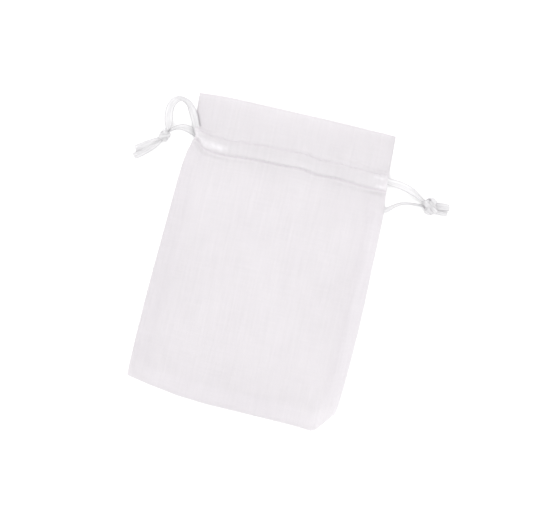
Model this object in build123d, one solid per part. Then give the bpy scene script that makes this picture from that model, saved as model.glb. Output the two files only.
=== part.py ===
from build123d import *
import math
import os

# A small drawstring gift pouch of sheer organza, lying flat on its back panel.
# Millimetres, +Z up, +X across the pouch, +Y from its bottom edge to its mouth.
# The origin is at the middle of the underside of the cloth bag, without the loose ribbons.

# driving dimensions
MOUTH_Y = 152.5  # bottom edge to mouth
CLOTH = 0.25  # one layer of organza, with its weave and stiffening
HEIGHT = 7.4  # loft of the front panel over the resting face
CHANNEL_LOW = 124.0  # lower row of stitching, below the ribbons
CHANNEL_HIGH = 131.8  # upper row of stitching, above the ribbons
CHANNEL_ROOM = 0.6  # space between the two layers that hold the ribbons
FACING_LOW = 122.5  # raw edge of the hem that is folded down inside the mouth
RIBBON_WIDTH = 3.2
RIBBON_THICKNESS = 0.25
LEFT_LANE_Y = 126.1  # middle of the left ribbon in the channel
RIGHT_LANE_Y = 129.7  # middle of the right ribbon in the channel
FLANGE = 1.5  # flat edge where the two panels are sewn together
SHOULDER_INSET = 2.5
SHOULDER_Z = 5.0
TOP_INSET = 5.0
LEFT_SLOT_X = -41.8  # the gap in each side seam, where ribbons come out, starts here
RIGHT_SLOT_X = 46.0
FACING_INSET = 4.7
SEAM_INSET = 2.6  # the overlocked allowance starts this far in from the edge
SEAM_WIDTH = 6.0
SEAM_THICKNESS = 0.5
SEAM_GAP = 0.05  # the allowance lies this far above the cloth under it
SIDE_SEAM_TOP = 121.0  # the side seam stops here, below the ribbon slot
HEADER_SEAM_LOW = 134.0  # and goes on here, above the ribbon slot
HEADER_SEAM_TOP = 151.5
BOTTOM_SEAM_LEFT = -42.0
BOTTOM_SEAM_RIGHT = 33.0
BOTTOM_SEAM_TOP = 20.0  # a cutting height, above its strip and below the side seams' tops
LEFT_SEAM_INNER_X = -43.0  # the side seams' strips lie outside these two x values
RIGHT_SEAM_INNER_X = 38.0
LEFT_SEAM_LOW = 5.0  # and above these two y values, clear of the bottom seam
RIGHT_SEAM_LOW = 14.0
STITCH_WIDTH = 0.4
STITCH_HEIGHT = 0.15
STITCH_INSET = 6.0

# derived sizes
MIDDLE_Y = MOUTH_Y / 2
PAST_MOUTH = 30.0  # the bag is drawn this much too long, then cut off at its mouth
FAR_LEFT = -80.0  # cutting boxes reach from here to there, past the bag on every side
FAR_RIGHT = 80.0
FAR_LOW = -10.0
FAR_HIGH = 20.0
FRONT_ROOM_TOP = HEIGHT - CLOTH
FRONT_ROOM_LOW = FRONT_ROOM_TOP - CHANNEL_ROOM
FRONT_RIBBON_Z = FRONT_ROOM_TOP - CHANNEL_ROOM / 2
BACK_RIBBON_Z = CLOTH + CHANNEL_ROOM / 2
BACK_FACING_LOW = CLOTH + CHANNEL_ROOM
BACK_FACING_TOP = BACK_FACING_LOW + CLOTH
# a round tube of about the ribbon's own section stands for its loose, limp strands
STRAND_DIAMETER = 1.0
TURN_RADIUS = 2.8  # of a ribbon where it goes round the side of the bag
LEFT_EXIT_X = -49.6
LEFT_TURN_X = -48.4
RIGHT_EXIT_X = 52.0
RIGHT_TURN_X = 52.6

# The outline, from the bottom left corner clockwise, with y from the bottom edge.
LEFT_EDGE = [(-53.8, 6.5), (-53.3, 47.0), (-51.8, 87.0), (-49.6, 123.0), (-47.0, 130.0),
             (-48.6, 136.5)]
RIGHT_EDGE = [(50.9, 136.5), (51.2, 129.0), (51.8, 121.0), (53.3, 87.0), (53.8, 60.0),
              (53.3, 32.0), (52.0, 11.0)]
BOTTOM_EDGE = [(42.8, 0.0), (8.3, 1.0), (-15.0, 1.2), (-38.0, 4.0)]
MOUTH_LEFT_X = -49.3
MOUTH_RIGHT_X = 50.3

# The loose strands' routes, with y from the bottom edge. Each ends inside its knot.
LEFT_FRONT_ROUTE = [(-49.6, 126.1, 6.85), (-51.9, 126.1, 6.85), (-53.2, 129.2, 6.7),
                    (-51.6, 135.0, 6.3), (-53.4, 141.5, 5.8), (-57.0, 147.0, 5.2),
                    (-61.5, 146.6, 4.8), (-64.1, 141.0, 4.4), (-63.6, 134.8, 4.0),
                    (-61.9, 129.8, 3.6), (-62.4, 126.8, 3.2)]
LEFT_BACK_ROUTE = [(-49.6, 126.1, 0.55), (-52.2, 126.1, 0.55), (-54.8, 129.6, 0.6),
                   (-58.6, 131.2, 0.8), (-61.6, 129.2, 1.2), (-61.6, 126.6, 1.7)]
RIGHT_FRONT_ROUTE = [(52.0, 129.7, 6.85), (54.6, 129.7, 6.85), (59.2, 127.6, 6.0),
                     (64.4, 125.8, 5.0), (69.4, 124.0, 4.1), (74.2, 122.1, 3.4)]
RIGHT_BACK_ROUTE = [(52.0, 129.7, 0.55), (54.4, 129.7, 0.55), (57.2, 126.4, 0.6),
                    (57.4, 121.6, 0.6), (61.0, 119.3, 0.6), (66.0, 120.4, 0.8),
                    (70.4, 121.3, 1.3), (74.2, 121.5, 1.8)]
LEFT_KNOT = (-62.4, 126.1, 2.4)
RIGHT_KNOT = (75.8, 121.8, 2.7)
LEFT_TAILS = [[(-62.4, 126.1, 2.4), (-67.0, 122.6, 1.8), (-71.4, 119.3, 1.0), (-75.6, 117.0, 0.6)],
              [(-62.4, 126.1, 2.4), (-66.4, 120.9, 1.8), (-70.3, 116.8, 1.0), (-74.2, 113.8, 0.6)]]
RIGHT_TAILS = [[(75.8, 121.8, 2.7), (80.2, 123.2, 1.8), (84.6, 123.6, 0.8)],
               [(75.8, 121.8, 2.7), (79.4, 120.2, 1.8), (83.0, 119.4, 0.8)]]
LEFT_KNOT_SIZE = (2.1, 5.0)  # radius and length along the ribbon
RIGHT_KNOT_SIZE = (2.5, 6.0)
KNOT_ROUNDING = 1.2


def placed(x, y, z=0.0):
    """A point given with y from the bottom edge, in the part's own frame."""
    return Vector(x, y - MIDDLE_Y, z)


def bag_corners():
    """The outline's corners, drawn straight on past the mouth so that nothing closes it."""
    past = MOUTH_Y + PAST_MOUTH
    left = LEFT_EDGE + [(MOUTH_LEFT_X, MOUTH_Y), (MOUTH_LEFT_X, past)]
    right = [(MOUTH_RIGHT_X, past), (MOUTH_RIGHT_X, MOUTH_Y)] + RIGHT_EDGE
    return left + right + BOTTOM_EDGE


def inset_corners(amount):
    """The outline with every side moved inwards by the same amount."""
    corners = bag_corners()
    count = len(corners)
    moved = []
    for i in range(count):
        before = Vector(*corners[i - 1])
        here = Vector(*corners[i])
        after = Vector(*corners[(i + 1) % count])
        first = (here - before).normalized()
        second = (after - here).normalized()
        first_in = Vector(first.Y, -first.X)
        second_in = Vector(second.Y, -second.X)
        middle = (first_in + second_in).normalized()
        moved.append(here + middle * (amount / middle.dot(first_in)))
    return moved


def outline_face(amount, z):
    """The flat outline, moved inwards, at height z."""
    corners = [placed(c.X, c.Y, z) for c in inset_corners(amount)]
    return Face(Wire.make_polygon(corners, close=True))


def plate(amount, low, high):
    """A plate of the inset outline between two heights."""
    return extrude(outline_face(amount, low), amount=high - low, dir=(0, 0, 1))


def region(x_low, x_high, y_low, y_high, z_low=FAR_LOW, z_high=FAR_HIGH):
    """A box between two x, two y (from the bottom edge) and two z values."""
    box = Box(x_high - x_low, y_high - y_low, z_high - z_low, align=(Align.MIN, Align.MIN, Align.MIN))
    return Location(placed(x_low, y_low, z_low)) * box


def lid(extra, top):
    """The bag's lofted space: steep sides, then a slope to a flat top."""
    steep = loft([outline_face(FLANGE + extra, CLOTH), outline_face(SHOULDER_INSET + extra, SHOULDER_Z)],
                 ruled=True)
    slope = loft([outline_face(SHOULDER_INSET + extra, SHOULDER_Z), outline_face(TOP_INSET + extra, top)],
                 ruled=True)
    return steep + slope


def across(y_low, y_high):
    """A box over the whole width, between two y values from the bottom edge."""
    return region(FAR_LEFT, FAR_RIGHT, y_low, y_high)


def front_panel():
    """The upper cloth: flange, lofted shell, and the hem folded back under its mouth."""
    shell = lid(0.0, HEIGHT) - lid(CLOTH, FRONT_ROOM_TOP)
    flange = plate(0.0, CLOTH, 2 * CLOTH) - plate(FLANGE + CLOTH / 2, 0.0, HEIGHT)
    facing = plate(FACING_INSET, FRONT_ROOM_LOW - CLOTH, FRONT_ROOM_LOW)
    facing = facing & across(FACING_LOW, MOUTH_Y)
    fold = plate(FACING_INSET, FRONT_ROOM_LOW - CLOTH, HEIGHT - CLOTH / 2)
    fold = fold & across(MOUTH_Y - CLOTH, MOUTH_Y)
    panel = ((shell + flange) & across(FAR_LOW, MOUTH_Y)) + facing + fold
    left_slot = region(FAR_LEFT, LEFT_SLOT_X, CHANNEL_LOW, CHANNEL_HIGH, CLOTH)
    right_slot = region(RIGHT_SLOT_X, FAR_RIGHT, CHANNEL_LOW, CHANNEL_HIGH, CLOTH)
    return panel - left_slot - right_slot


def back_panel():
    """The lower cloth, flat, with its hem folded up inside the mouth."""
    sheet = plate(0.0, 0.0, CLOTH) & across(FAR_LOW, MOUTH_Y)
    facing = plate(FACING_INSET, BACK_FACING_LOW, BACK_FACING_TOP)
    facing = facing & across(FACING_LOW, MOUTH_Y)
    fold = plate(FACING_INSET, CLOTH / 2, BACK_FACING_TOP)
    fold = fold & across(MOUTH_Y - CLOTH, MOUTH_Y)
    return sheet + facing + fold


def allowance(low):
    """The overlocked edge that lies inside the bag, all round, before it is shared out."""
    return plate(SEAM_INSET, low, low + SEAM_THICKNESS) - plate(SEAM_INSET + SEAM_WIDTH, 0.0, HEIGHT)


def side_seam(x_low, x_high, y_low):
    """One side's allowance: a long strip below the ribbon slot and a short one above it."""
    body = allowance(CLOTH + SEAM_GAP) & region(x_low, x_high, y_low, SIDE_SEAM_TOP)
    header = allowance(BACK_FACING_TOP + SEAM_GAP) & region(x_low, x_high, HEADER_SEAM_LOW, HEADER_SEAM_TOP)
    return body + header


def bottom_seam():
    """The allowance along the bottom edge, between the two side seams."""
    return allowance(CLOTH + SEAM_GAP) & region(BOTTOM_SEAM_LEFT, BOTTOM_SEAM_RIGHT, FAR_LOW, BOTTOM_SEAM_TOP)


def stitching(z):
    """Two rows of thread across one side of the channel, at height z."""
    rows = []
    for y in (CHANNEL_LOW, CHANNEL_HIGH):
        row = plate(STITCH_INSET, z, z + STITCH_HEIGHT)
        rows.append(row & across(y - STITCH_WIDTH / 2, y + STITCH_WIDTH / 2))
    return rows[0] + rows[1]


def channel_run(exit_x, turn_x, lane_y):
    """A ribbon's held part: through the front, round the far side, back through the back."""
    corners = [(exit_x, FRONT_RIBBON_Z), (turn_x, FRONT_RIBBON_Z), (turn_x, BACK_RIBBON_Z),
               (exit_x, BACK_RIBBON_Z)]
    path = FilletPolyline([placed(x, lane_y, z) for x, z in corners], radius=TURN_RADIUS)
    section = Plane(origin=path @ 0, z_dir=path % 0, x_dir=(0, 1, 0)) * Rectangle(RIBBON_WIDTH,
                                                                               RIBBON_THICKNESS)
    return sweep(section, path=path)


def route_path(name, route):
    """Straight runs joined by the largest tangent arcs that their lengths allow."""
    points = [placed(*p) for p in route]
    radii = []
    for before, here, after in zip(points, points[1:], points[2:]):
        turn = (here - before).get_angle(after - here)
        shorter = min((here - before).length, (after - here).length)
        radii.append(0.45 * shorter / math.tan(math.radians(turn) / 2))
    path = FilletPolyline(points, radius=radii)
    print(name, "length", round(path.length, 1), "radii", [round(r, 1) for r in radii])
    return path


def tube(name, route):
    """A limp strand along its route."""
    path = route_path(name, route)
    solid = sweep(Plane(origin=path @ 0, z_dir=path % 0) * Circle(STRAND_DIAMETER / 2), path=path)
    expected = path.length * math.pi * STRAND_DIAMETER**2 / 4
    print(name, "volume", round(solid.volume, 2), "section x length", round(expected, 2))
    return solid


def knot(name, centre, size, tails):
    """The overhand knot that ties a ribbon's two ends together, and its two tails."""
    radius, length = size
    along = placed(*tails[0][1]) - placed(*tails[0][0])
    lump = Cylinder(radius, length)
    lump = fillet(lump.edges(), radius=KNOT_ROUNDING)
    lump = Plane(origin=placed(*centre), z_dir=(along.X, along.Y, 0)) * lump
    for number, tail in enumerate(tails):
        lump = lump + tube(f"{name}_tail_{number}", tail)
    return lump


def save(name, shape):
    """Writes one node's STEP file."""
    export_step(shape, f"parts/{name}.step")


os.makedirs("parts", exist_ok=True)
save("front_panel", front_panel())
save("back_panel", back_panel())
save("bottom_seam", bottom_seam())
save("left_side_seam", side_seam(FAR_LEFT, LEFT_SEAM_INNER_X, LEFT_SEAM_LOW))
save("right_side_seam", side_seam(RIGHT_SEAM_INNER_X, FAR_RIGHT, RIGHT_SEAM_LOW))
save("front_channel_stitching", stitching(HEIGHT))
save("back_channel_stitching", stitching(BACK_FACING_TOP))
save("left_ribbon_channel_run", channel_run(LEFT_EXIT_X, RIGHT_TURN_X, LEFT_LANE_Y))
save("right_ribbon_channel_run", channel_run(RIGHT_EXIT_X, LEFT_TURN_X, RIGHT_LANE_Y))
save("left_ribbon_front_strand", tube("left_ribbon_front_strand", LEFT_FRONT_ROUTE))
save("left_ribbon_back_strand", tube("left_ribbon_back_strand", LEFT_BACK_ROUTE))
save("right_ribbon_front_strand", tube("right_ribbon_front_strand", RIGHT_FRONT_ROUTE))
save("right_ribbon_back_strand", tube("right_ribbon_back_strand", RIGHT_BACK_ROUTE))
save("left_ribbon_knot", knot("left_ribbon_knot", LEFT_KNOT, LEFT_KNOT_SIZE, LEFT_TAILS))
save("right_ribbon_knot", knot("right_ribbon_knot", RIGHT_KNOT, RIGHT_KNOT_SIZE, RIGHT_TAILS))
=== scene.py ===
import math

import bpy
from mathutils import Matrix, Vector, noise


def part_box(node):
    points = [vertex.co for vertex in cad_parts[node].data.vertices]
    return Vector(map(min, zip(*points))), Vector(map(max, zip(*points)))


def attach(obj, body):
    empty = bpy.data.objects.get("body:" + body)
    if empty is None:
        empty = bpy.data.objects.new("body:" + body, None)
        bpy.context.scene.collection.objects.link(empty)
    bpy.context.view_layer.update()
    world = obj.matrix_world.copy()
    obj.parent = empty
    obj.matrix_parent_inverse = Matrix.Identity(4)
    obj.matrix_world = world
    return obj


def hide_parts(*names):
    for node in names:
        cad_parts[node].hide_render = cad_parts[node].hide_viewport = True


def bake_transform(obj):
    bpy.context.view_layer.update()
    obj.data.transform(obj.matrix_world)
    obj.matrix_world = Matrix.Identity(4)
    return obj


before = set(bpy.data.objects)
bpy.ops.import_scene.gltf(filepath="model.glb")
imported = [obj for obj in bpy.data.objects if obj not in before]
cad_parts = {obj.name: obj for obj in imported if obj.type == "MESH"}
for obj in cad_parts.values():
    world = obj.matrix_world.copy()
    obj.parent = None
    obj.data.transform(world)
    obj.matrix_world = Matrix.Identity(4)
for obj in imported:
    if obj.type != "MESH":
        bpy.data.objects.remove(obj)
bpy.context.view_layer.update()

# ----------------------------------------------------------
# Sizes. Everything below is worked out in millimetres, with y counted from the bag's bottom
# edge, and put() turns it into metres in the part's own frame.
# ----------------------------------------------------------
MM = 0.001
BAG_LOW, BAG_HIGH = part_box("back_panel")
BOTTOM = BAG_LOW.y / MM
FOLD_ROLL = 0.6  # the mouth's rolled fold takes this much of the length
MOUTH = BAG_HIGH.y / MM - BOTTOM - FOLD_ROLL
STITCH_LOW, STITCH_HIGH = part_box("front_channel_stitching")
HALF_STITCH = 0.2
CHANNEL_LOW = STITCH_LOW.y / MM - BOTTOM + HALF_STITCH
CHANNEL_HIGH = STITCH_HIGH.y / MM - BOTTOM - HALF_STITCH
CHANNEL_MID = (CHANNEL_LOW + CHANNEL_HIGH) / 2
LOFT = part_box("front_panel")[1].z / MM
FACING_LOW = 122.4  # raw edge of the hem folded down inside the mouth
HEADER_LOW = 140.0  # the mouth's own shape begins here
HEADER_RISE = 12.0  # and is fully there this much higher
BOTTOM_REACH = 60.0  # the bottom edge's shape fades out up to here
SLOT_HALF = 3.4  # half of the side slot's length
CLOTH_SEED = 4.7
SEAM_Z = 0.34  # height of the line where the two panels are sewn together
SEAM_SINK = 0.08  # the back panel's edge lies this far below that line
BACK_Z = 0.16
FRONT_ROOM = 0.80  # the front channel's height inside, between the panel and its hem
BACK_ROOM = 0.62
CLOTH_GAP = 0.10  # between a panel and its hem outside the channel
SLOT_SETBACK = 2.0  # the back channel's open end stands this far back from the front's
MOUTH_BOW = 0.15  # the mouth's middle stands this much higher than its ends
MOUTH_DROP = 0.6  # and its left corner hangs this much lower
ALLOWANCE = 6.4  # the seam allowance's width inside the bag
ALLOWANCE_THICKNESS = 0.16  # of its doubled cloth
ALLOWANCE_LIFT = 0.10  # above the cloth that it lies on
OVERLOCK = 9.4  # where its overlocked edge ends
OVERLOCK_PITCH = 1.25
OVERLOCK_STEPS = 8  # points in one zigzag
OVERLOCK_RADIUS = 0.13
STITCH_LENGTH = 2.0
STITCH_GAP = 0.55
STITCH_RADIUS = 0.16
STITCH_STEPS = 6
THREAD_PITCH = 0.31  # of the weave
RIBBON_WIDTH = 3.3
RIBBON_THICKNESS = 0.12
FRONT_RIBBON_Z = 2.86
BACK_RIBBON_Z = 0.52

# The outline, as (y, x) along each side. The left side is pinched where the ribbons come out.
LEFT_EDGE = [(6.2, -53.8), (12.0, -54.0), (47.0, -53.5), (87.0, -52.0), (109.0, -51.1),
             (119.0, -50.2), (126.0, -48.6), (129.6, -47.2), (133.0, -48.0), (137.5, -49.0),
             (152.5, -50.2)]
RIGHT_EDGE = [(11.0, 52.1), (14.5, 52.6), (32.0, 53.5), (60.0, 54.0), (87.0, 53.6),
              (114.0, 53.1), (124.0, 51.7), (129.0, 51.2), (137.0, 51.1), (152.5, 50.3)]
# The bottom edge's y against the share of the half width, and the turned corner at its end.
BOTTOM_EDGE = [(-1.0, 5.8), (-0.78, 3.6), (-0.5, 1.4), (-0.22, 0.4), (0.15, 0.2), (0.62, -0.2),
               (0.80, -0.8), (0.84, -0.1), (0.92, 5.0), (1.0, 10.5)]
# The front panel's loft along the bag, as (y, height).
LOFT_LINE = [(0.0, LOFT - 1.8), (35.0, LOFT - 0.1), (72.0, LOFT - 0.1), (100.0, LOFT - 1.5),
             (118.0, LOFT - 3.4), (128.0, LOFT - 4.1), (136.0, LOFT - 4.0), (146.0, LOFT - 3.6),
             (152.5, LOFT - 3.8)]
# How far the channel strays from a straight line, as (x, shift in y).
CHANNEL_WAVE = [(-41.0, 0.0), (-31.0, -0.5), (-17.0, 0.6), (1.0, 1.1), (8.0, 1.5), (16.0, 0.4),
                (26.0, 0.7), (41.0, -0.1), (51.0, 0.0)]
# How far the cloth is drawn up into the pinched left slot, as (y, shift in y).
NOTCH_PULL = [(106.0, 0.0), (116.0, 1.8), (124.0, 4.2), (131.8, 2.1), (140.0, 0.5), (150.0, 0.0)]


def put(x, y, z):
    """A point in metres in the part's frame, from millimetres with y from the bottom edge."""
    return Vector((x, y + BOTTOM, z)) * MM


def smooth(t):
    """A smooth step from 0 to 1 as t goes from 0 to 1."""
    t = min(1.0, max(0.0, t))
    return t * t * (3 - 2 * t)


def through(points, t):
    """A smooth value through (position, value) points, flat beyond the first and last."""
    if t <= points[0][0]:
        return points[0][1]
    if t >= points[-1][0]:
        return points[-1][1]
    i = max(k for k in range(len(points) - 1) if points[k][0] <= t)

    def slope(k):
        a, b = points[max(k - 1, 0)], points[min(k + 1, len(points) - 1)]
        return (b[1] - a[1]) / (b[0] - a[0])

    (t0, v0), (t1, v1) = points[i], points[i + 1]
    span = t1 - t0
    u = (t - t0) / span
    return ((2 * u**3 - 3 * u**2 + 1) * v0 + (u**3 - 2 * u**2 + u) * span * slope(i)
            + (3 * u**2 - 2 * u**3) * v1 + (u**3 - u**2) * span * slope(i + 1))


def linear(points, t):
    """The straight-line value through (position, value) points."""
    for (t0, v0), (t1, v1) in zip(points, points[1:]):
        if t <= t1:
            return v0 + (v1 - v0) * max(0.0, t - t0) / (t1 - t0)
    return points[-1][1]


def ripple(x, y, seed=0.0):
    """Smooth seeded noise, about -1 to 1."""
    return noise.noise(Vector((x, y, CLOTH_SEED + seed))) * 1.6


def bump_at(t, middle, flat, fall):
    """1 within flat of the middle, falling smoothly to 0 over fall."""
    return 1 - smooth((abs(t - middle) - flat) / fall)


# ----------------------------------------------------------
# The bag's shape
# ----------------------------------------------------------
SIDE_POWER = 2.7  # the front panel's rise from a side seam to its loft
SIDE_STEEPNESS = 0.72
BOTTOM_RISE = 26.0  # the length of its rise from the bottom seam
BROAD_WAVES = 0.50  # heights of the cloth's small folds
FINE_STREAKS = 0.07
GATHERS = 0.15
PUCKERS = 0.22
ALLOWANCE_RIDGE = 0.10
RIGHT_FOLDS = 0.45
LEFT_FOLDS = 0.28
HEADER_CREASES = 0.10
GLINT_LIFT = 0.34
LOW_PINCH = 0.62  # how far the lower and the upper row of stitching press the cloth down
HIGH_PINCH = 0.26
TUCK_LIFT = 0.42


def half_width(y, side):
    """The outline's distance from the middle line at y; side is -1 for left, 1 for right."""
    return abs(through(LEFT_EDGE if side < 0 else RIGHT_EDGE, y))


def slot(y):
    """1 at the side slots, where the channel's open ends stand up, and 0 away from them."""
    return bump_at(y, CHANNEL_MID, SLOT_HALF, SLOT_HALF)


def channel_shift(x, row):
    """How far the channel's unevenness moves the cloth up or down here."""
    wave = through(CHANNEL_WAVE, x) * bump_at(row, CHANNEL_MID, 5.0, 16.0)
    return wave + through(NOTCH_PULL, row) * smooth((-40.5 - x) / 7.5)


def at_mouth(row):
    """0 below the header, rising to 1 at the mouth."""
    return smooth((row - HEADER_LOW) / HEADER_RISE)


def flat_point(a, row, side):
    """The plan position of grid share a, 0 at the middle and 1 at the edge, on a row."""
    bottom = linear(BOTTOM_EDGE, a * side)
    y = row + bottom * max(0.0, 1 - row / BOTTOM_REACH) ** 2
    y += channel_shift(side * a * half_width(row, side), row)
    y -= MOUTH_DROP * smooth((-side * a - 0.7) / 0.3) * at_mouth(row)
    return side * a * half_width(y, side), y


def cloth_waves(x, y, from_edge):
    """Broad waves and fine lengthwise streaks, none at the seams."""
    inside = smooth(from_edge / 9.0) * smooth(y / 12.0)
    broad = BROAD_WAVES * ripple(x / 34, y / 46) * (1 - bump_at(y, CHANNEL_MID, 5.0, 10.0))
    return inside * (broad + FINE_STREAKS * ripple(x / 4.6, y / 70, 3.0))


def channel_gathers(x, y, from_edge):
    """Small gathers that run off the channel, longer below it than above."""
    to_channel = max(CHANNEL_LOW - y, y - CHANNEL_HIGH, 0.0)
    reach = 6.0 if y < CHANNEL_MID else 3.5
    held = 0.35 + 0.65 * smooth(to_channel / 2.0)
    gathers = GATHERS * ripple(x / 2.6, y / 40, 6.0) * math.exp(-to_channel / reach)
    return gathers * held * smooth(from_edge / 3.0)


def seam_puckers(x, y, from_edge):
    """Short puckers along the side seams, and a low ridge over the allowance underneath."""
    puckers = PUCKERS * ripple(y / 3.6, x / 30, 9.0) * math.exp(-from_edge / 3.5)
    ridge = smooth(from_edge / 1.5) * (1 - smooth((from_edge - OVERLOCK + 0.6) / 1.4))
    return puckers * smooth(from_edge / 1.2) + ALLOWANCE_RIDGE * ridge


def corner_folds(x, y, from_edge, side):
    """Folds across the bottom corners: deep at the turned right one, slight at the left."""
    if side > 0:
        away = (51.0 - x) * 0.80 + (y - 2.0) * 0.60
        bent = 0.9 * ripple(x / 9, y / 9, 2.0)
        folds = RIGHT_FOLDS * math.sin(away / 1.55 + bent) * math.exp(-away / 13.0)
    else:
        away = (53.0 + x) * 0.72 + (y - 5.0) * 0.69
        folds = LEFT_FOLDS * math.sin(away / 1.7) * math.exp(-away / 10.0)
    return folds * smooth(from_edge / 2.0) * smooth(y / 3.0)


def header_creases(x, y, from_edge):
    """Level creases just above the channel, on the right."""
    creases = HEADER_CREASES * ripple(y / 1.5, x / 16, 16.0) * smooth((x - 14.0) / 12.0)
    return creases * bump_at(y, CHANNEL_HIGH + 4.5, 3.0, 4.0) * smooth(from_edge / 2.0)


def wrinkles(x, y, from_edge, side):
    """The front cloth's small folds, in millimetres of height."""
    return (cloth_waves(x, y, from_edge) + channel_gathers(x, y, from_edge)
            + seam_puckers(x, y, from_edge) + corner_folds(x, y, from_edge, side)
            + header_creases(x, y, from_edge))


def painted_glints(x, row):
    """Painted highlights near the channel's ends, where the ribbons press into its cloth, 0 to
    about 1; the same mask also lifts the cloth there.
    """
    left = math.exp(-((row - 126.8) / 1.6) ** 2) * bump_at(x, -39.0, 6.0, 4.0)
    upper = math.exp(-((row - 129.9) / 0.9) ** 2) * bump_at(x, 47.0, 1.6, 2.4)
    lower = math.exp(-((row - 125.7) / 0.8) ** 2) * bump_at(x, 47.6, 1.2, 2.0)
    uneven = 0.85 + 0.55 * ripple(x / 1.7, row / 3, 18.0)
    return (left + upper + lower) * min(1.3, max(0.25, uneven))


def painted_lightening(x, row):
    """Painted light: how much the front cloth is lightened along the bottom band and along the
    right side.
    """
    along_bottom = 0.26 * bump_at(row, 5.6, 1.8, 4.2) * smooth((x + 50.0) / 12)
    along_right = 0.34 * smooth((x - 45.5) / 6.0) * (1 - smooth((row - 100) / 22))
    return max(along_bottom, along_right)


def tucked(x, y):
    """How far the right edge is lifted by the ribbon that passes under it."""
    return TUCK_LIFT * bump_at(y, 120.5, 5.0, 4.0) * smooth((x - 44.0) / 4.0)


def back_height(x, y):
    """The back panel's cloth, resting on the table in shallow waves."""
    waves = 0.05 * ripple(x / 9, y / 30, 12.0) + 0.03 * ripple(x / 3, y / 25, 14.0)
    return BACK_Z + waves + tucked(x, y)


def front_height(a, x, y, row, side):
    """The front panel's cloth, from its seam at the edge up to its loft."""
    from_edge = max(0.0, half_width(y, side) * (1 - a))
    rise = (1 - min(a, 1.0) ** SIDE_POWER) ** SIDE_STEEPNESS
    rise += slot(row) * (1 - rise)
    near = min(1.0, row / BOTTOM_RISE)
    rise *= (1 - (1 - near) ** 1.8) ** 0.85
    pinch = LOW_PINCH * math.exp(-((row - CHANNEL_LOW) / 0.6) ** 2)
    pinch += HIGH_PINCH * math.exp(-((row - CHANNEL_HIGH) / 0.8) ** 2)
    lofted = through(LOFT_LINE, row) - SEAM_Z - pinch
    folds = wrinkles(x, row, from_edge, side) * min(1.0, rise * 1.6) + GLINT_LIFT * painted_glints(x, row)
    return SEAM_Z + tucked(x, y) + rise * lofted + folds


def hem_spread(a, row):
    """The hem closes on the panel at the side seam, but stays open at the slot."""
    return 0.35 + 0.65 * max(slot(row), smooth((1 - a) * 12))


def layer_gap(y, room):
    """The space between a panel and its folded hem: room in the channel, little elsewhere."""
    puff = smooth((y - CHANNEL_LOW) / 1.2) * smooth((CHANNEL_HIGH - y) / 1.2)
    return CLOTH_GAP + room * puff + 0.10 * smooth((y - CHANNEL_HIGH) / 6.0)


# ----------------------------------------------------------
# Mesh helpers
# ----------------------------------------------------------
def new_mesh(name, vertices, faces, uvs=None, material=None):
    """A smooth-shaded object. uvs gives one (u, v) for each vertex."""
    mesh = bpy.data.meshes.new(name)
    mesh.from_pydata([tuple(v) for v in vertices], [], faces)
    mesh.polygons.foreach_set("use_smooth", [True] * len(mesh.polygons))
    if uvs:
        layer = mesh.uv_layers.new(name="cloth")
        for loop in mesh.loops:
            layer.data[loop.index].uv = uvs[loop.vertex_index]
    if material:
        mesh.materials.append(material)
    mesh.update()
    piece = bpy.data.objects.new(name, mesh)
    bpy.context.scene.collection.objects.link(piece)
    return piece


def grid_faces(rows, columns, flip=False):
    """Quads over a grid of rows x columns vertices."""
    faces = []
    for r in range(rows - 1):
        for c in range(columns - 1):
            corner = r * columns + c
            quad = (corner, corner + 1, corner + columns + 1, corner + columns)
            faces.append(quad[::-1] if flip else quad)
    return faces


def side_name(side):
    return "left" if side < 0 else "right"


def gathered(piece):
    """Bakes a cloth piece's placement into its mesh."""
    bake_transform(piece)


# ----------------------------------------------------------
# Materials
# ----------------------------------------------------------
def material_nodes(name):
    """A new node material: (material, add a node, link, output node)."""
    material = bpy.data.materials.new(name)
    material.use_nodes = True
    tree = material.node_tree
    tree.nodes.clear()
    output = tree.nodes.new("ShaderNodeOutputMaterial")

    def add(kind, **settings):
        node = tree.nodes.new("ShaderNode" + kind)
        for key, value in settings.items():
            if key.startswith("in_"):
                node.inputs[key[3:].replace("_", " ")].default_value = value
            else:
                setattr(node, key, value)
        return node

    return material, add, tree.links.new, output


def maths(add, link, operation, first, second):
    """One math node over sockets or numbers."""
    node = add("Math", operation=operation)
    for socket, value in zip(node.inputs, (first, second)):
        if isinstance(value, (int, float)):
            socket.default_value = value
        else:
            link(value, socket)
    return node.outputs[0]


def weighted_sum(add, link, start, *terms):
    """start plus each (source, weight)."""
    total = start
    for source, weight in terms:
        total = maths(add, link, "ADD", total, maths(add, link, "MULTIPLY", source, weight))
    return total


def two_tone(add, link, source, dark, tint, low, high):
    """A colour that goes from dark at low to tint at high."""
    shade = add("ValToRGB")
    for stop, place, colour in zip(shade.color_ramp.elements, (low, high), (dark, tint)):
        stop.position = place
        stop.color = (*colour, 1)
    link(source, shade.inputs[0])
    return shade.outputs[0]


def mixed_colour(add, link, share, first, second, blend="MIX"):
    """first blended with the plain colour second."""
    mix = add("Mix", data_type="RGBA", blend_type=blend)
    link(share, mix.inputs[0])
    link(first, mix.inputs[6])
    mix.inputs[7].default_value = (*second, 1)
    return mix.outputs[2]


def relief(add, link, height, strength, distance):
    """A bump normal from a height."""
    bump = add("Bump", in_Strength=strength, in_Distance=distance)
    link(height, bump.inputs["Height"])
    return bump.outputs[0]


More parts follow.
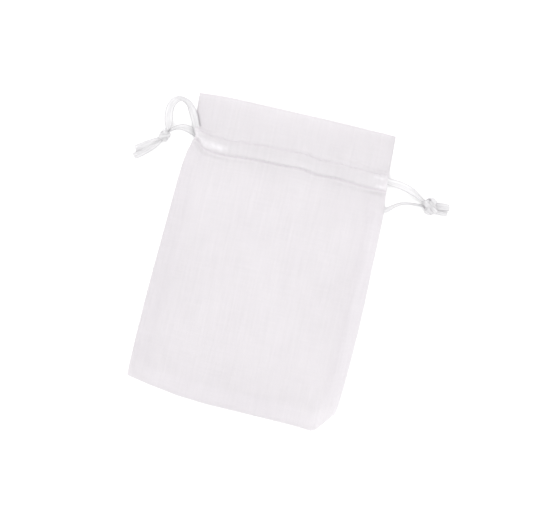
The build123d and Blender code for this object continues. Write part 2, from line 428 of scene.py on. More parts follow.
def thin_cloth(add, link, colour, rough, normal, translucent, **settings):
    """A glossy fibre surface, with a share of light that comes through from behind."""
    surface = add("BsdfPrincipled")
    for key, value in settings.items():
        surface.inputs[key.replace("_", " ")].default_value = value
    link(colour, surface.inputs["Base Color"])
    link(rough, surface.inputs["Roughness"])
    link(normal, surface.inputs["Normal"])
    through_light = add("BsdfTranslucent")
    link(colour, through_light.inputs["Color"])
    link(normal, through_light.inputs["Normal"])
    body = add("MixShader", in_Fac=translucent)
    link(surface.outputs[0], body.inputs[1])
    link(through_light.outputs[0], body.inputs[2])
    return body.outputs[0]


def stretched_noise(add, link, source, scale, detail=3.0):
    """Noise over the cloth's own coordinates, stretched by scale."""
    mapping = add("Mapping")
    mapping.inputs["Scale"].default_value = (*scale, 1.0)
    link(source, mapping.inputs["Vector"])
    texture = add("TexNoise", in_Scale=1.0, in_Detail=detail, in_Roughness=0.6)
    link(mapping.outputs[0], texture.inputs["Vector"])
    return texture.outputs[0]


def bands(add, link, source, period, direction):
    """Even bands with a period in the cloth's own units, along X or Y."""
    texture = add("TexWave", wave_type="BANDS", bands_direction=direction, in_Distortion=0.35,
                  in_Detail=1.0, in_Detail_Scale=0.4)
    texture.inputs["Scale"].default_value = 0.314 / period
    link(source, texture.inputs["Vector"])
    return texture.outputs["Fac"]


def organza(name, cover, tint, depth):
    """Sheer woven cloth: fine warp and weft, uneven thread density, partly see-through."""
    material, add, link, output = material_nodes(name)
    cloth = add("UVMap", uv_map="cloth").outputs[0]
    warp = bands(add, link, cloth, THREAD_PITCH, "X")
    weft = bands(add, link, cloth, THREAD_PITCH * 1.08, "Y")
    weave = maths(add, link, "MAXIMUM", warp, weft)
    streak = stretched_noise(add, link, cloth, (0.85, 0.035))
    slub = stretched_noise(add, link, cloth, (0.05, 1.1), 2.0)
    cloud = stretched_noise(add, link, cloth, (0.03, 0.024), 2.0)
    crease = crease_lines(add, link, cloth)
    density = weighted_sum(add, link, cover - 0.30, (weave, 0.20), (streak, 0.07), (slub, 0.06),
                           (cloud, 0.16), (crease, 0.25))
    density = maths(add, link, "MINIMUM", maths(add, link, "MAXIMUM", density, 0.05), 0.97)
    uneven = weighted_sum(add, link, 0.0, (cloud, 0.5), (streak, 0.5))
    colour = two_tone(add, link, uneven, [c * depth for c in tint], tint, 0.30, 0.72)
    # Painted shade: the colour is darkened and tinted along the stitched rows and the fold at the
    # mouth; the density above is raised there as well.
    colour = mixed_colour(add, link, maths(add, link, "MINIMUM", crease, 1.0), colour,
                          (0.80, 0.77, 0.80), "MULTIPLY")
    # Painted light: a per-vertex attribute, made of the painted glints and the painted lightening,
    # blends the colour towards near white.
    painted_light = add("Attribute", attribute_name="painted_light").outputs["Fac"]
    colour = mixed_colour(add, link, maths(add, link, "MULTIPLY", painted_light, 0.55), colour,
                          (0.97, 0.95, 0.98))
    height = weighted_sum(add, link, 0.0, (weave, 0.35), (streak, 1.0))
    normal = relief(add, link, height, 0.35, 0.25 * MM)
    rough = weighted_sum(add, link, 0.24, (slub, 0.20))
    body = thin_cloth(add, link, colour, rough, normal, 0.24, Sheen_Weight=0.25,
                      Sheen_Roughness=0.4, Specular_IOR_Level=0.6)
    sheer = add("MixShader")
    link(density, sheer.inputs[0])
    link(add("BsdfTransparent").outputs[0], sheer.inputs[1])
    link(body, sheer.inputs[2])
    link(sheer.outputs[0], output.inputs["Surface"])
    return material


def crease_lines(add, link, cloth):
    """1 along the pressed lines: the stitched rows and the fold at the mouth, and 0 elsewhere. The
    cloth is denser along them and darkened there with painted shade.
    """
    split = add("SeparateXYZ")
    link(cloth, split.inputs[0])
    total = 0.0
    for row, reach, strength in ((CHANNEL_LOW, 0.45, 1.0), (CHANNEL_HIGH, 0.5, 0.35),
                                 (MOUTH, 0.8, 0.45), (2 * MOUTH - CHANNEL_LOW, 0.45, 0.6)):
        past = maths(add, link, "SUBTRACT", split.outputs[1], row)
        away = maths(add, link, "ABSOLUTE", past, 0.0)
        line = add("MapRange", interpolation_type="SMOOTHSTEP", in_From_Min=reach, in_From_Max=0.0,
                   in_To_Max=strength)
        link(away, line.inputs[0])
        total = maths(add, link, "ADD", line.outputs[0], total)
    return total


def satin(name, tint, dark):
    """Satin ribbon: long floats that run with it, woven edges, soft gloss."""
    material, add, link, output = material_nodes(name)
    cloth = add("UVMap", uv_map="cloth").outputs[0]
    split = add("SeparateXYZ")
    link(cloth, split.inputs[0])
    edge = add("MapRange", in_From_Min=RIBBON_WIDTH * 0.40, in_From_Max=RIBBON_WIDTH * 0.49)
    link(maths(add, link, "ABSOLUTE", split.outputs[0], 0.0), edge.inputs[0])
    floats = bands(add, link, cloth, 0.22, "X")
    picks = bands(add, link, cloth, 0.36, "Y")
    slub = stretched_noise(add, link, cloth, (1.15, 0.07))
    crease = stretched_noise(add, link, cloth, (0.9, 0.16), 2.0)
    uneven = weighted_sum(add, link, 0.0, (edge.outputs[0], -0.75), (slub, 1.0), (floats, 0.22))
    colour = two_tone(add, link, uneven, dark, tint, 0.34, 0.74)
    height = weighted_sum(add, link, 0.0, (floats, 0.25), (picks, 0.12), (crease, 1.6))
    normal = relief(add, link, height, 0.4, 0.2 * MM)
    rough = weighted_sum(add, link, 0.20, (slub, 0.22))
    body = thin_cloth(add, link, colour, rough, normal, 0.16, Sheen_Weight=0.2,
                      Specular_IOR_Level=0.6, Subsurface_Weight=0.3,
                      Subsurface_Radius=(1.0, 1.0, 1.0), Subsurface_Scale=1.0 * MM)
    link(body, output.inputs["Surface"])
    return material


def spun_thread(name, tint, dark):
    """Sewing thread: a fine twist and a soft, fibrous surface."""
    material, add, link, output = material_nodes(name)
    turned = add("Mapping")
    turned.inputs["Scale"].default_value = (1 / MM,) * 3
    turned.inputs["Rotation"].default_value = (0.0, 0.3, math.radians(32))
    link(add("TexCoord").outputs["Object"], turned.inputs["Vector"])
    twist = bands(add, link, turned.outputs[0], 0.16, "X")
    fuzz = add("TexNoise", in_Scale=3.5, in_Detail=4.0)
    link(turned.outputs[0], fuzz.inputs["Vector"])
    uneven = weighted_sum(add, link, 0.0, (twist, 0.5), (fuzz.outputs[0], 0.5))
    surface = add("BsdfPrincipled", in_Roughness=0.7)
    surface.inputs["Sheen Weight"].default_value = 0.3
    link(two_tone(add, link, uneven, dark, tint, 0.25, 0.75), surface.inputs["Base Color"])
    link(relief(add, link, twist, 0.5, 0.06 * MM), surface.inputs["Normal"])
    link(surface.outputs[0], output.inputs["Surface"])
    return material


def plain(name, colour, roughness):
    """The floor's plain matte surface."""
    material, add, link, output = material_nodes(name)
    surface = add("BsdfPrincipled", in_Roughness=roughness)
    surface.inputs["Base Color"].default_value = (*colour, 1)
    surface.inputs["Specular IOR Level"].default_value = 0.1
    link(surface.outputs[0], output.inputs["Surface"])
    return material


ORGANZA = organza("organza", 0.85, (0.769, 0.745, 0.766), 0.975)
# The seam allowance is the same organza with a lighter tint: painted light that lightens the seams.
ALLOWANCE_LIGHTENED_CLOTH = organza("organza_allowance", 0.45, (0.915, 0.890, 0.917), 0.97)
SATIN = satin("satin_ribbon", (0.770, 0.766, 0.775), (0.550, 0.535, 0.555))
THREAD = spun_thread("sewing_thread", (0.72, 0.68, 0.72), (0.54, 0.50, 0.54))
OVERLOCK_THREAD = spun_thread("overlock_thread", (0.88, 0.84, 0.89), (0.76, 0.71, 0.77))
FLOOR = plain("floor_paper", (0.93, 0.93, 0.93), 0.9)


# ----------------------------------------------------------
# Camera, lights and floor
# ----------------------------------------------------------
TURN = math.radians(13)  # the bag lies turned this far clockwise in the picture
LENS = 100.0
VIEW_WIDTH = 279.0
VIEW_CENTRE = (7.1, 79.6)


def camera():
    """The camera looks straight down at the turned bag."""
    data = bpy.data.cameras.new("camera")
    data.lens = LENS
    data.sensor_width = 36.0
    data.clip_end = 20.0
    seen = bpy.data.objects.new("camera", data)
    seen.location = put(*VIEW_CENTRE, VIEW_WIDTH * LENS / data.sensor_width)
    seen.rotation_euler = (0.0, 0.0, TURN)
    bpy.context.scene.collection.objects.link(seen)
    bpy.context.scene.camera = seen


def area_light(name, place, size, power):
    """A square softbox at place, aimed at the part."""
    data = bpy.data.lights.new(name, "AREA")
    data.size = size
    data.energy = power
    lamp = bpy.data.objects.new(name, data)
    lamp.location = place
    lamp.rotation_euler = (-Vector(place)).to_track_quat("-Z", "Y").to_euler()
    bpy.context.scene.collection.objects.link(lamp)


def floor():
    """A pale sheet of paper, large enough to fill every view."""
    size = 6.0
    corners = [(-size, -size, 0), (size, -size, 0), (size, size, 0), (-size, size, 0)]
    paper = new_mesh("floor", corners, [(0, 1, 2, 3)], material=FLOOR)


def studio():
    """A bright even surround, three softboxes and the floor."""
    world = bpy.data.worlds.new("studio")
    world.use_nodes = True
    background = world.node_tree.nodes["Background"]
    background.inputs["Color"].default_value = (1.0, 1.0, 1.0, 1)
    background.inputs["Strength"].default_value = 1.05
    bpy.context.scene.world = world
    area_light("softbox_key", (-0.75, 0.75, 0.62), 0.40, 4.5)
    area_light("softbox_fill", (0.80, -0.75, 0.62), 0.40, 4.5)
    area_light("softbox_top", (0.1, 0.2, 1.4), 0.9, 4.0)
    bpy.context.scene.view_settings.view_transform = "Standard"
    cycles = bpy.context.scene.cycles
    cycles.transparent_max_bounces = 48
    cycles.max_bounces = 20
    cycles.diffuse_bounces = 16
    cycles.transmission_bounces = 16
    floor()


camera()
studio()


# ----------------------------------------------------------
# Ribbons
# ----------------------------------------------------------
# The loose strands' routes: out of the slot, through the knot and on to the cut end.
LEFT_LOOP = [(-44.4, 129.0, 2.9), (-46.3, 131.0, 2.8), (-47.9, 134.4, 2.2), (-49.4, 138.0, 1.8),
             (-51.7, 142.2, 1.6), (-54.5, 145.6, 1.7), (-59.2, 146.8, 1.6), (-62.4, 143.2, 1.6),
             (-62.9, 138.8, 2.0), (-62.0, 134.4, 2.5), (-61.2, 130.4, 2.9), (-62.3, 126.6, 2.7),
             (-65.2, 123.6, 2.1), (-69.2, 120.8, 1.3), (-72.8, 118.4, 0.8), (-75.2, 116.9, 0.65)]
LEFT_RETURN = [(-44.6, 129.0, 0.45), (-46.8, 131.0, 0.5), (-50.4, 132.4, 0.8), (-54.4, 132.9, 1.1),
               (-57.6, 131.9, 1.4), (-60.6, 129.6, 1.7), (-62.3, 126.5, 2.0), (-64.6, 122.6, 1.6),
               (-68.0, 119.2, 1.1), (-71.7, 115.9, 0.6), (-75.0, 113.1, 0.4)]
RIGHT_UPPER = [(49.0, 129.6, 2.8), (52.2, 129.1, 3.0), (56.2, 128.9, 3.3), (60.6, 128.2, 3.5),
               (65.2, 126.6, 3.3), (69.8, 124.2, 3.0), (74.0, 122.2, 2.9), (79.0, 122.6, 1.7),
               (84.4, 123.4, 0.70)]
RIGHT_LOWER = [(49.0, 129.6, 0.75), (50.6, 126.6, 0.5), (50.2, 121.4, 0.3), (50.8, 116.4, 0.35),
               (53.4, 114.6, 0.7), (56.6, 117.7, 1.2), (60.4, 120.2, 1.6), (65.2, 121.1, 1.9),
               (70.4, 121.2, 2.1), (75.0, 121.3, 2.1), (79.0, 120.3, 1.35), (83.9, 120.5, 0.45)]


def nurbs_points(name, route):
    """Points read from the smooth NURBS line that has the route as its control points."""
    curve = bpy.data.curves.new(name, "CURVE")
    curve.dimensions = "3D"
    curve.resolution_u = 16
    spline = curve.splines.new("NURBS")
    spline.points.add(len(route) - 1)
    for point, place in zip(spline.points, route):
        point.co = (*put(*place), 1.0)
    spline.order_u = 3
    spline.use_endpoint_u = True
    holder = bpy.data.objects.new(name, curve)
    bpy.context.scene.collection.objects.link(holder)
    bpy.context.view_layer.update()
    line = bpy.data.meshes.new_from_object(holder)
    points = [v.co.copy() for v in line.vertices]
    bpy.data.objects.remove(holder)
    bpy.data.curves.remove(curve)
    bpy.data.meshes.remove(line)
    return points


def strip_frames(path, closed=False):
    """At each point of a path: its tangent and the level direction across it."""
    count = len(path)
    frames = []
    for i in range(count):
        before = path[i - 1] if closed or i else path[0]
        after = path[(i + 1) % count] if closed or i < count - 1 else path[-1]
        tangent = (after - before).normalized()
        frames.append((tangent, tangent.cross(Vector((0, 0, 1))).normalized()))
    return frames


ACROSS = 12  # faces across a ribbon
KNOT_STEPS = 140
HELD_STEPS = 90
TURN_STEPS = 24


def ring(place, across, up, width, fold, thickness, cup):
    """One closed section of a ribbon: its upper face, then its lower face back again."""
    points, shares = [], []
    for face in (1, -1):
        for k in range(ACROSS + 1):
            u = (k / ACROSS - 0.5) * face
            thin = thickness / 2 * (1 - (2 * abs(u)) ** 8 * 0.7)
            lift = cup * (0.25 - u * u) * 4 + fold * math.cos(u * 2 * math.pi * 1.5)
            points.append(place + across * (u * width) + up * (lift + face * thin))
            shares.append(u)
    return points, shares


def ribbon_surface(path, width, twist, fold, cup=0.0, frames=None, closed=False, seed=0.0,
                   thickness=RIBBON_THICKNESS):
    """Vertices, faces and UVs of a thin ribbon. width, twist (degrees) and fold: (share, value)."""
    count = len(path)
    frames = frames or strip_frames(path, closed)
    vertices, uvs, faces = [], [], []
    travelled = 0.0
    for i, (place, (tangent, level)) in enumerate(zip(path, frames)):
        travelled += (place - path[i - 1]).length / MM if i else 0.0
        share = i / (count - 1)
        upward = level.cross(tangent).normalized()
        angle = math.radians(through(twist, share)) + 0.10 * ripple(travelled / 6, 0, seed)
        across = level * math.cos(angle) + upward * math.sin(angle)
        up = upward * math.cos(angle) - level * math.sin(angle)
        w = through(width, share) * (1 + 0.03 * ripple(travelled / 5, 2, seed))
        points, shares = ring(place, across, up, w * MM, through(fold, share) * MM,
                              thickness * MM, (cup + 0.06 * ripple(travelled / 4, 5, seed)) * MM)
        vertices += points
        uvs += [(u * RIBBON_WIDTH, travelled) for u in shares]
    size = 2 * (ACROSS + 1)
    for i in range(count if closed else count - 1):
        here, there = i * size, ((i + 1) % count) * size
        for k in range(size):
            after = (k + 1) % size
            faces.append((here + k, here + after, there + after, there + k))
    if not closed:
        faces.append(tuple(range(size))[::-1])
        faces.append(tuple(range((count - 1) * size, count * size)))
    return vertices, faces, uvs


def loose_strand(side, name, route, width, twist, fold, seed, node):
    """A free strand of ribbon from the slot through its knot to its cut end."""
    path = nurbs_points(name, route)
    strand = new_mesh(name, *ribbon_surface(path, width, twist, fold, seed=seed), SATIN)
    body = f"{side}_drawstring"
    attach(strand, body)
    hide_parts(node)


def knot_line(centre, along, size, turn, seed):
    """An overhand knot's closed line, wound round the strands: its points and their frames."""
    length, breadth, height = size
    toward = Vector((*along, 0.0)).normalized()
    sideways = Vector((0, 0, 1)).cross(toward)
    middle = put(*centre)
    path = []
    start = (1.5 * math.pi - math.radians(turn)) / 2
    for i in range(KNOT_STEPS):
        t = start + 2 * math.pi * i / KNOT_STEPS
        angle = 2 * t + math.radians(turn)
        reach = 1 + 0.17 * math.cos(3 * t)
        local = (sideways * (breadth * reach * math.cos(angle))
                 + Vector((0, 0, height * reach * math.sin(angle)))
                 + toward * (length * math.sin(3 * t)))
        uneven = 1 + 0.07 * ripple(3 * math.cos(t), 3 * math.sin(t), seed)
        path.append(middle + local * uneven * MM)
    frames = []
    for i, place in enumerate(path):
        tangent = (path[(i + 1) % KNOT_STEPS] - path[i - 1]).normalized()
        offset = place - middle
        outward = offset - toward * offset.dot(toward) * 0.35
        frames.append((tangent, tangent.cross(outward).normalized()))
    return path, frames


def overhand_knot(name, side, centre, along, size, width, turn, seed):
    """The tightened knot: an outer turn of flattened ribbon over an inner one that fills it."""
    vertices, faces, uvs = [], [], []
    for share, wide, thick, turned in ((1.0, width, 0.75, turn), (0.80, width, 1.15, turn + 60)):
        path, frames = knot_line(centre, along, [s * share for s in size], turned, seed)
        part = ribbon_surface(path, [(0, wide), (0.3, wide * 0.86), (0.6, wide * 1.06), (1, wide)],
                              [(0, 0), (1, 0)], [(0, 0.07), (0.5, 0.13), (1, 0.07)], cup=0.30,
                              frames=frames, closed=True, seed=seed, thickness=thick)
        first = len(vertices)
        vertices += part[0]
        faces += [tuple(first + i for i in face) for face in part[1]]
        uvs += part[2]
    lump = new_mesh(name, vertices, faces, uvs, SATIN)
    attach(lump, f"{side}_drawstring")
    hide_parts(f"{side}_ribbon_knot")
    return lump


LANES = {"left": 127.2, "right": 126.7}
LANE_WAVE = 0.35  # the share of the channel's waves that a ribbon follows


def lane(side, x):
    """A held ribbon's y: nearly straight, so that it can slide, and bent up only near its ends."""
    y = LANES[side] + LANE_WAVE * through(CHANNEL_WAVE, x)
    if side == "left":
        return y + 1.7 * smooth((-36.0 - x) / 8)
    return y + 2.7 * smooth((x - 42.0) / 8) + 2.7 * smooth((-39.0 - x) / 7)


def held_ribbon(side, exit_x, turn_x, spacing, seed):
    """The part inside the channel: across the front, round the far side, back across the back."""
    way = 1 if turn_x > exit_x else -1
    low, high = BACK_RIBBON_Z - spacing, FRONT_RIBBON_Z + spacing
    radius = (high - low) / 2
    straight = abs(turn_x - exit_x) - radius
    shares = [i / HELD_STEPS for i in range(HELD_STEPS + 1)]
    plan = [(exit_x + way * straight * share, high) for share in shares]
    for i in range(1, TURN_STEPS):
        angle = math.pi * i / TURN_STEPS
        plan.append((exit_x + way * (straight + radius * math.sin(angle)),
                     low + radius * (1 + math.cos(angle))))
    plan += [(exit_x + way * straight * share, low) for share in shares[::-1]]
    path = []
    for x, z in plan:
        path.append(put(x, lane(side, x) + 0.06 * ripple(x / 5, z, seed), z))
    frames = []
    for i, place in enumerate(path):
        tangent = (path[min(i + 1, len(path) - 1)] - path[max(i - 1, 0)]).normalized()
        frames.append((tangent, Vector((0, 1, 0)).cross(tangent).cross(tangent).normalized() * -1))
    surface = ribbon_surface(
        path, width=[(0, 3.1), (0.08, 3.3), (0.45, 3.1), (0.5, 2.9), (0.55, 3.1), (1, 3.0)],
        twist=[(0, 0), (1, 0)], fold=[(0, 0.10), (0.1, 0.05), (0.5, 0.09), (1, 0.06)],
        frames=frames, seed=seed)
    piece = new_mesh(f"{side}_ribbon_in_channel", *surface, SATIN)
    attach(piece, f"{side}_drawstring")
    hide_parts(f"{side}_ribbon_channel_run")


def ribbons():
    """Each side's knot and loose strands, and then the runs inside the channel.

    A strand's width in mm, twist in degrees and fold in mm follow its share of the way.
    """
    left_knot = overhand_knot(
        "left_knot", "left", centre=(-62.3, 126.5, 2.3), along=(-0.42, -0.90),
        size=(1.75, 1.60, 1.35), width=2.7, turn=75, seed=1.0)
    loose_strand(
        "left", "left_loop_strand", LEFT_LOOP,
        width=[(0, 3.0), (0.1, 3.3), (0.22, 3.9), (0.34, 3.3), (0.46, 3.6), (0.54, 4.0),
               (0.62, 3.9), (0.69, 2.2), (0.75, 1.4), (0.81, 1.9), (0.88, 3.2), (0.96, 3.5),
               (1, 3.0)],
        twist=[(0, 0), (0.12, 12), (0.24, 8), (0.36, 50), (0.46, 18), (0.56, 3), (0.63, 8),
               (0.70, 32), (0.8, 10), (0.9, 1), (1, 0)],
        fold=[(0, 0.10), (0.2, 0.05), (0.55, 0.06), (0.7, 0.3), (0.8, 0.22), (0.94, 0.06),
              (1, 0.16)],
        seed=2.0, node="left_ribbon_front_strand")
    loose_strand(
        "left", "left_return_strand", LEFT_RETURN,
        width=[(0, 3.3), (0.12, 3.6), (0.25, 3.3), (0.37, 2.2), (0.5, 1.4), (0.62, 1.6),
               (0.76, 3.1), (0.93, 3.5), (1, 2.9)],
        twist=[(0, 0), (0.15, 3), (0.3, 16), (0.5, 30), (0.7, 8), (1, 4)],
        fold=[(0, 0.08), (0.2, 0.06), (0.35, 0.20), (0.55, 0.3), (0.8, 0.1), (0.92, 0.06),
              (1, 0.16)],
        seed=3.0, node="left_ribbon_back_strand")
    right_knot = overhand_knot(
        "right_knot", "right", centre=(74.7, 121.7, 2.65), along=(0.94, 0.34),
        size=(1.85, 3.25, 1.62), width=3.4, turn=100, seed=5.0)
    loose_strand(
        "right", "right_upper_strand", RIGHT_UPPER,
        width=[(0, 2.9), (0.12, 3.5), (0.45, 3.5), (0.6, 2.4), (0.7, 1.7), (0.8, 2.3), (0.88, 3.3),
               (0.95, 3.5), (1, 2.9)],
        twist=[(0, 4), (0.3, -8), (0.55, 12), (0.72, 20), (0.84, 3), (1, 2)],
        fold=[(0, 0.08), (0.3, 0.05), (0.6, 0.20), (0.72, 0.3), (0.85, 0.08), (1, 0.16)],
        seed=6.0, node="right_ribbon_front_strand")
    loose_strand(
        "right", "right_lower_strand", RIGHT_LOWER,
        width=[(0, 3.0), (0.2, 2.8), (0.34, 2.6), (0.45, 1.9), (0.65, 1.5), (0.8, 1.5), (0.9, 2.8),
               (0.96, 3.2), (1, 2.8)],
        twist=[(0, 0), (0.3, 3), (0.45, 25), (0.7, 35), (0.82, 20), (0.9, 4), (1, 3)],
        fold=[(0, 0.03), (0.3, 0.04), (0.5, 0.2), (0.75, 0.3), (0.9, 0.08), (1, 0.14)],
        seed=8.0, node="right_ribbon_back_strand")
    held_ribbon("left", exit_x=-44.0, turn_x=50.4, spacing=0.18, seed=11.0)
    held_ribbon("right", exit_x=49.6, turn_x=-46.2, spacing=-0.16, seed=13.0)


# ----------------------------------------------------------
# Cloth panels. Each half is one sheet: up the outside, over the fold at the mouth, and down
# again inside as the hem that makes the header and the channel.
# ----------------------------------------------------------
COLUMNS = 76
FOLD_BULGE = 0.12  # how far the fold at the mouth rounds out
FOLD_TURNS = 4


def shares_across():
    """Columns from the middle, 0, to the edge, 1, closer together at the edge."""
    return [1 - (1 - i / COLUMNS) ** 1.5 for i in range(COLUMNS + 1)]


def spread(low, high, step):
    """Even steps from low up to high, without high itself."""
    count = max(1, round((high - low) / step))
    return [low + (high - low) * i / count for i in range(count)]


def outer_rows():
    """Rows up the outside, closer together at the bottom edge and round the channel."""
    return (spread(0, 6, 0.4) + spread(6, 118, 1.1) + spread(118, 137, 0.42)
            + spread(137, MOUTH - 0.5, 0.9) + spread(MOUTH - 0.5, MOUTH, 0.12))


def hem_rows():
    """Rows of the folded hem, from its raw edge up to the mouth."""
    return spread(FACING_LOW, 137, 0.5) + spread(137, MOUTH, 1.0)


def panel_rows():
    """Every row of a panel's sheet: up the outside, round the fold, and down the hem."""
    rows = [("outer", row) for row in outer_rows()]
    rows += [("fold", turn) for turn in range(1, FOLD_TURNS)]
    return rows + [("hem", row) for row in hem_rows()[::-1]]


def panel_point(front, side, level, a):
    """A point of a panel: x, y, the height of its outer cloth, and the height of its hem."""
    x, y = flat_point(a, level, side)
    if front:
        z = front_height(a, x, y, level, side)
        return x, y, z, z - layer_gap(level, FRONT_ROOM) * hem_spread(a, level)
    z = back_height(x, y)
    z += (SEAM_Z - SEAM_SINK - z) * smooth((a - 0.985) / 0.015) * (1 - slot(level))
    x -= side * SLOT_SETBACK * slot(level) ** 2 * smooth((a - 0.85) / 0.15)
    return x, y, z, z + layer_gap(level, BACK_ROOM) * hem_spread(a, level)


def panel_surface(front, side):
    """Vertices, UVs and the painted light of each vertex for half of a panel."""
    vertices, uvs, painted_light = [], [], []
    shares = shares_across()
    for part, place in panel_rows():
        level = MOUTH if part == "fold" else place
        run = level if part == "outer" else 2 * MOUTH - level
        for a in shares:
            x, y, z, inner = panel_point(front, side, level, a)
            if part == "fold":
                turn = math.pi * place / FOLD_TURNS
                y += FOLD_BULGE * math.sin(turn)
                z = (z + inner) / 2 + (z - inner) / 2 * math.cos(turn)
            elif part == "hem":
                z = inner
            vertices.append(put(x, y + MOUTH_BOW * (1 - a * a) * at_mouth(level), z))
            across = side * a * half_width(level, side)
            uvs.append((across, run))
            # Only the front panel's outside carries the painted highlights and the painted light.
            lit = front and part == "outer"
            painted_light.append(painted_glints(across, level) + painted_lightening(across, level) if lit else 0.0)
    return vertices, uvs, painted_light


def panel_half(front, side):
    """Half of a panel with its hem, in one sheet."""
    vertices, uvs, painted_light = panel_surface(front, side)
    flip = (side < 0) == front
    name = f"{'front' if front else 'back'}_panel_{side_name(side)}"
    piece = new_mesh(name, vertices, grid_faces(len(panel_rows()), COLUMNS + 1, flip), uvs, ORGANZA)
    # The painted light is stored on each vertex, for the organza material to read.
    piece.data.attributes.new("painted_light", "FLOAT", "POINT").data.foreach_set("value", painted_light)
    gathered(piece)
    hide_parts("front_panel" if front else "back_panel")


def panels():
    """The back and the front panel, each as two halves."""
    for side in (-1, 1):
        panel_half(False, side)
        panel_half(True, side)


# ----------------------------------------------------------
# Seams: the allowance lies inside the bag, with its raw edges bound by overlock thread.
# ----------------------------------------------------------
def thread_tube(lines, radius, sides=6):
    """Vertices and faces of round threads along lists of points."""
    vertices, faces = [], []
    for line in lines:
        first = len(vertices)
        for i, place in enumerate(line):
            tangent = (line[min(i + 1, len(line) - 1)] - line[max(i - 1, 0)]).normalized()
            across = tangent.orthogonal().normalized() if abs(tangent.z) > 0.9 else tangent.cross(
                Vector((0, 0, 1))).normalized()
            up = across.cross(tangent)
            for k in range(sides):
                angle = 2 * math.pi * k / sides
                vertices.append(place + (across * math.cos(angle) + up * math.sin(angle)) * radius)
        for i in range(len(line) - 1):
            for k in range(sides):
                here = first + i * sides
                after = (k + 1) % sides
                faces.append((here + k, here + after, here + sides + after, here + sides + k))
        faces.append(tuple(first + k for k in range(sides))[::-1])
        faces.append(tuple(first + (len(line) - 1) * sides + k for k in range(sides)))
    return vertices, faces


def on_back_panel(x, y, inset, lift, under, seed, along):
    """A point on an allowance, over the back panel's cloth and what lies on it there."""
    wave = 0.10 * (1 + ripple(along / 5, inset / 6, seed)) * smooth(inset / 3)
    return put(x, y, back_height(x, y) + under + ALLOWANCE_LIFT + lift + wave)


def side_place(side, row, inset, lift):
    """A point on a side seam's allowance, which lies on the back panel or its hem."""
    x, y = flat_point(1 - inset / half_width(row, side), row, side)
    under = layer_gap(row, BACK_ROOM) if row > FACING_LOW else 0.0
    return on_back_panel(x, y, inset, lift, under, 20.0, y)


def bottom_place(a, side, inset, lift):
    """A point on the bottom seam's allowance, this far up from the bottom edge."""
    x, y = flat_point(a, inset, side)
    return on_back_panel(x, y, inset, lift, 0.0, 24.0, x)


def doubled_strip(name, place, rows, low, flip):
    """A closed strip of doubled cloth; place(row, inset, lift) gives a point on it."""
    steps = 8
    vertices, uvs = [], []
    for lift in (0.0, ALLOWANCE_THICKNESS):
        for row in rows:
            for k in range(steps + 1):
                inset = low + (ALLOWANCE - low) * k / steps
                vertices.append(place(row, inset, lift))
                uvs.append((inset, row))
    count = len(rows) * (steps + 1)
    lower = grid_faces(len(rows), steps + 1, flip)
    upper = [tuple(count + i for i in face[::-1]) for face in lower]
    rim = [r * (steps + 1) for r in range(len(rows))]
    rim += [(len(rows) - 1) * (steps + 1) + k for k in range(1, steps + 1)]
    rim += [r * (steps + 1) + steps for r in range(len(rows) - 2, -1, -1)]
    rim += list(range(steps - 1, 0, -1))
    walls = []
    for here, there in zip(rim, rim[1:] + rim[:1]):
        wall = (here, there, there + count, here + count)
        walls.append(wall[::-1] if flip else wall)
    piece = new_mesh(name, vertices, lower + upper + walls, uvs, ALLOWANCE_LIGHTENED_CLOTH)
    gathered(piece)
    return piece


def overlock(name, place, length, sway):
    """The overlock stitch: a zigzag bound by two running threads, which may sway with it.

    place(share, inset, lift) gives a point of it, with share from 0 to 1 along its length.
    """
    zigzag, looper, needle = [], [], []
    inner, outer = OVERLOCK, ALLOWANCE - 0.3
    count = round(length / OVERLOCK_PITCH) * OVERLOCK_STEPS
    for i in range(count + 1):
        share = i / count
        phase = 2 * math.pi * i / OVERLOCK_STEPS
        inset = outer + (inner - outer) * (0.5 - 0.5 * math.cos(phase))
        zigzag.append(place(share, inset, 0.30 + 0.08 * math.sin(phase)))
        looper.append(place(share, inner - 0.15 + 0.12 * sway * math.sin(phase), 0.22))
        needle.append(place(share, outer + 0.5, 0.36 + 0.06 * sway * math.cos(phase)))
    vertices, faces = thread_tube([zigzag, looper, needle], OVERLOCK_RADIUS * MM)
    piece = new_mesh(name, vertices, faces, material=OVERLOCK_THREAD)
    gathered(piece)


def side_strip(side, low, high, part):
    """The allowance inside one side between two heights along the bag, with its overlock."""
    label = f"{side_name(side)}_{part}"

    def on_row(row, inset, lift):
        return side_place(side, row, inset, lift)

    def on_share(share, inset, lift):
        return side_place(side, low + (high - low) * share, inset, lift)

    strip = doubled_strip(f"{label}_allowance", on_row, spread(low, high, 1.2) + [high], 0.5,
                          side > 0)
    overlock(f"{label}_overlock", on_share, high - low, 1.0)
    return strip


def side_seams():
    """Each side's allowance, with a gap at the slot."""
    slot_low, slot_high = CHANNEL_LOW - 2.6, CHANNEL_HIGH + 2.4
    for side, low in ((-1, 13.0), (1, 16.0)):
        strip = side_strip(side, low, slot_low, "seam")
        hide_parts(f"{side_name(side)}_side_seam")
        side_strip(side, slot_high, MOUTH - 1.0, "header")


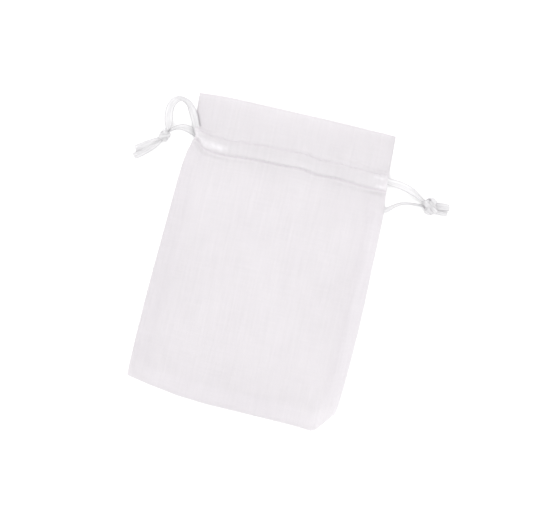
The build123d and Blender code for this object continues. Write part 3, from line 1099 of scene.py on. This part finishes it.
def bottom_half(side, end):
    """Half of the bottom seam's allowance, out to a share of the half width, with its overlock."""
    half = half_width(5.0, side)

    def on_row(x, inset, lift):
        return bottom_place(x / half, side, inset, lift)

    def on_share(share, inset, lift):
        return bottom_place(end * share, side, inset, lift)

    strip = doubled_strip(f"bottom_seam_allowance_{side_name(side)}", on_row,
                          spread(0.0, end * half, 0.75) + [end * half], 0.7, side < 0)
    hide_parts("bottom_seam")
    overlock(f"bottom_seam_overlock_{side_name(side)}", on_share, end * half, 0.0)


def bottom_seams():
    """The bottom seam's allowance, short of the rounded corners."""
    for side, end in ((-1, 0.80), (1, 0.66)):
        bottom_half(side, end)


# ----------------------------------------------------------
# Channel stitching: separate stitches that sink into the cloth at their ends.
# ----------------------------------------------------------
def stitch(x, y, side, front):
    """One stitch's line, a little arch over the cloth between its two holes."""
    line = []
    for k in range(STITCH_STEPS + 1):
        t = k / STITCH_STEPS
        a = min(1.0, abs(x + STITCH_LENGTH * t) / half_width(y, side))
        here, there = flat_point(a, y, side)
        arch = 0.14 * math.sin(math.pi * t) - 0.06
        if front:
            z = front_height(a, here, there, y, side) + arch
        else:
            z = back_height(here, there) + layer_gap(y, BACK_ROOM) + arch
        line.append(put(here, there, z))
    return line


def stitching(front, side):
    """Both rows of stitches on half of a panel."""
    label = f"{'front' if front else 'back'}_stitching_{side_name(side)}"
    lines = []
    for row_y, seed in ((CHANNEL_LOW, 1.0), (CHANNEL_HIGH, 2.0)):
        reach = half_width(row_y, side) - 1.2
        x = 0.3
        while x + STITCH_LENGTH < reach:
            y = row_y + 0.10 * ripple(x / 6, seed, 30.0)
            start = x if side > 0 else -x - STITCH_LENGTH
            lines.append(stitch(start, y, side, front))
            x += STITCH_LENGTH + STITCH_GAP
    vertices, faces = thread_tube(lines, STITCH_RADIUS * MM)
    piece = new_mesh(label, vertices, faces, material=THREAD)
    gathered(piece)
    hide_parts("front_channel_stitching" if front else "back_channel_stitching")


def channel_stitching():
    """The rows of stitches on all four halves."""
    for side in (-1, 1):
        stitching(True, side)
        stitching(False, side)


ribbons()
panels()
side_seams()
bottom_seams()
channel_stitching()
